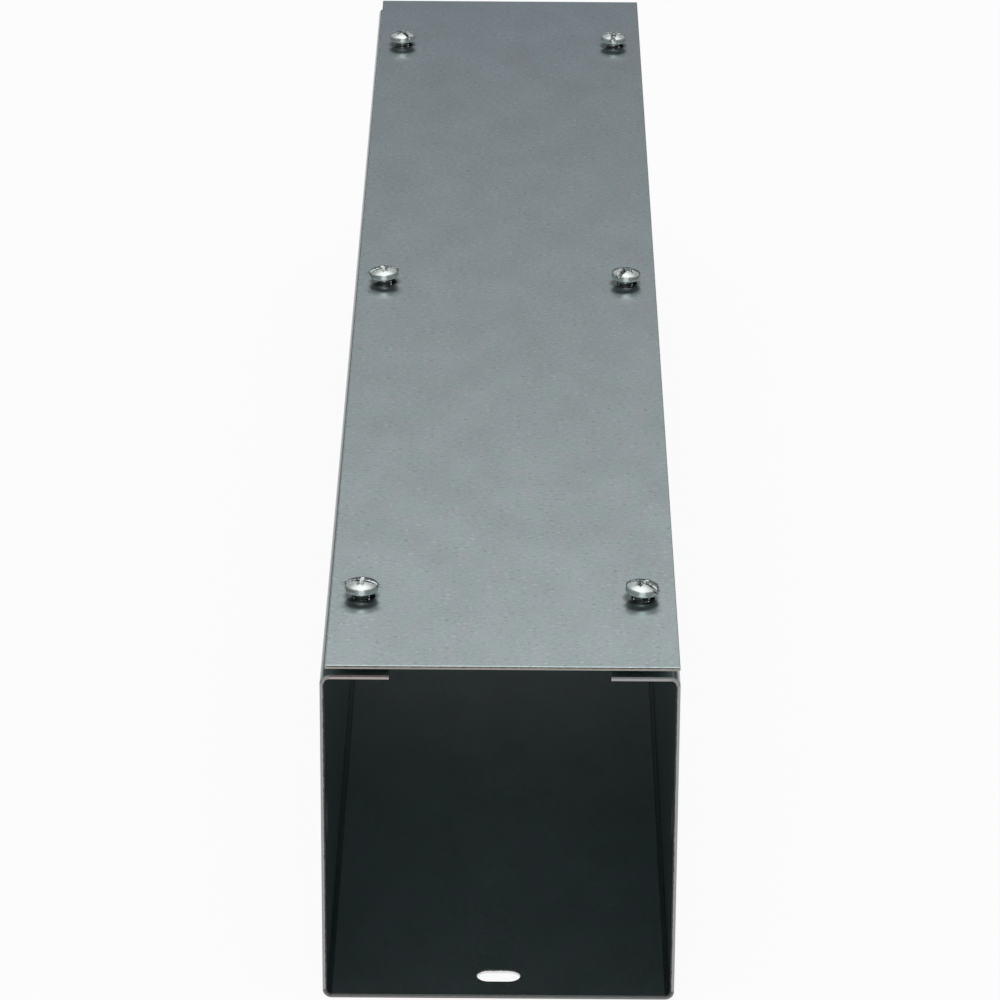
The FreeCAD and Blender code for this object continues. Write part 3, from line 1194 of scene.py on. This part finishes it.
bpy.context.scene.world = studio_sky()
print("sky with", len(back_steps), "steps behind and", len(front_steps), "in front")

# %% [markdown]
# One big soft box stands behind and above the camera. The sky alone would leave the fronts of the screws flat:
# the box adds a soft glint on their heads and threads, which makes them look turned.

# %% Soft box
box_size = (1.8, 2.0)
box_place = Vector((0.05, -2.6, 1.2))
box_target = Vector((0.0, 0.0, 0.1))
box_level = 0.85

lamp = bpy.data.lights.new("soft_box", "AREA")
lamp.shape = "RECTANGLE"
lamp.size, lamp.size_y = box_size
lamp.energy = box_level * math.pi * lamp.size * lamp.size_y
holder = bpy.data.objects.new("soft_box", lamp)
holder.location = box_place
holder.rotation_euler = (box_target - box_place).to_track_quat("-Z", "Y").to_euler()
bpy.context.scene.collection.objects.link(holder)
print(f"soft box of {lamp.energy:.1f} W")

# %% [markdown]
# An open steel tube works as a light pipe: a bright floor behind it would shine through by reflections.
# The screw heads, too, would mirror the white floor past the cover's long edges.
# Photographers keep such light off with dark cards, called flags. One stands over the far end here, lit a
# little more at its top, and one lies along each side of the cover, level with it. Only reflections see them:
# the camera doesn't, and they cast no shadow.

# %% Flags
end_tone = (0.084, 0.074, 0.072, 1.0)
end_top_gain = 2.6
end_gap = 0.7
side_tone = (0.15, 0.16, 0.16, 1.0)
side_gap = 0.2
side_reach = 40.0
half_width = trough_width / 2
half_length = trough_length / 2
far_end = half_length + end_gap
cover_top = cover_low.z + sheet
cover_right = cover_low.x + cover_size.x
closed_top = cover_top - sheet / 2


def flag_finish(name, tone, top_gain):
    """A dim glow that is stronger at the cover's height."""
    material, tree, _ = new_finish(name)
    tree.nodes.clear()
    height = axes_of(tree, add_node(tree, "ShaderNodeTexCoord").outputs["Object"])["Z"]
    lit = spread(tree, height, 0.0, cover_top * MM, 1.0, top_gain)
    dim = add_node(tree, "ShaderNodeEmission", {"Color": tone, "Strength": lit})
    add_node(tree, "ShaderNodeOutputMaterial", {"Surface": dim.outputs[0]})
    return material


def flag(name, corners, tone, top_gain=1.0):
    """A dim card with these corners, in millimetres, that only reflections see."""
    card = flat_card(name, [Vector(corner) * MM for corner in corners], flag_finish(name, tone, top_gain))
    card.visible_camera = False
    card.visible_diffuse = False
    card.visible_shadow = False
    print(f"{name}: from {tuple(round(c, 1) for c in corners[0])} to {tuple(round(c, 1) for c in corners[2])}")


flag("end_flag", [
    (-half_width, far_end, 0.0), (half_width, far_end, 0.0),
    (half_width, far_end, closed_top), (-half_width, far_end, closed_top),
], end_tone, end_top_gain)
for name, inner, outer in (
    ("left_flag", cover_low.x - side_gap, cover_low.x - side_reach),
    ("right_flag", cover_right + side_gap, cover_right + side_reach),
):
    flag(name, [
        (inner, -half_length, cover_top), (outer, -half_length, cover_top),
        (outer, half_length, cover_top), (inner, half_length, cover_top),
    ], side_tone)

# %% [markdown]
# The camera stands in front of one end and looks down along the trough through a long lens.
# Its place and angles were worked out from the edges of the trough and the cover in the photograph.

# %% Camera
focal_pixels = 4952.0
picture_pixels = 1000.0
sensor_width = 36.0
camera_place = Vector((3.6, -1561.2, 703.3)) * MM
pitch = math.radians(23.490)
yaw = math.radians(-0.178)
roll = math.radians(-0.316)

forward = Vector((math.sin(yaw) * math.cos(pitch), math.cos(yaw) * math.cos(pitch), -math.sin(pitch)))
level_right = Vector((math.cos(yaw), -math.sin(yaw), 0.0))
level_down = forward.cross(level_right)
right = math.cos(roll) * level_right + math.sin(roll) * level_down
down = math.cos(roll) * level_down - math.sin(roll) * level_right
lens = bpy.data.cameras.new("camera")
lens.sensor_width = sensor_width
lens.lens = focal_pixels / picture_pixels * sensor_width
camera = bpy.data.objects.new("camera", lens)
camera.matrix_world = Matrix.Translation(camera_place) @ Matrix((right, -down, -forward)).transposed().to_4x4()
bpy.context.scene.collection.objects.link(camera)
bpy.context.scene.camera = camera
bpy.context.scene.view_settings.view_transform = "Standard"
print(f"lens {lens.lens:.1f} mm, camera at {tuple(round(x, 3) for x in camera_place)}")
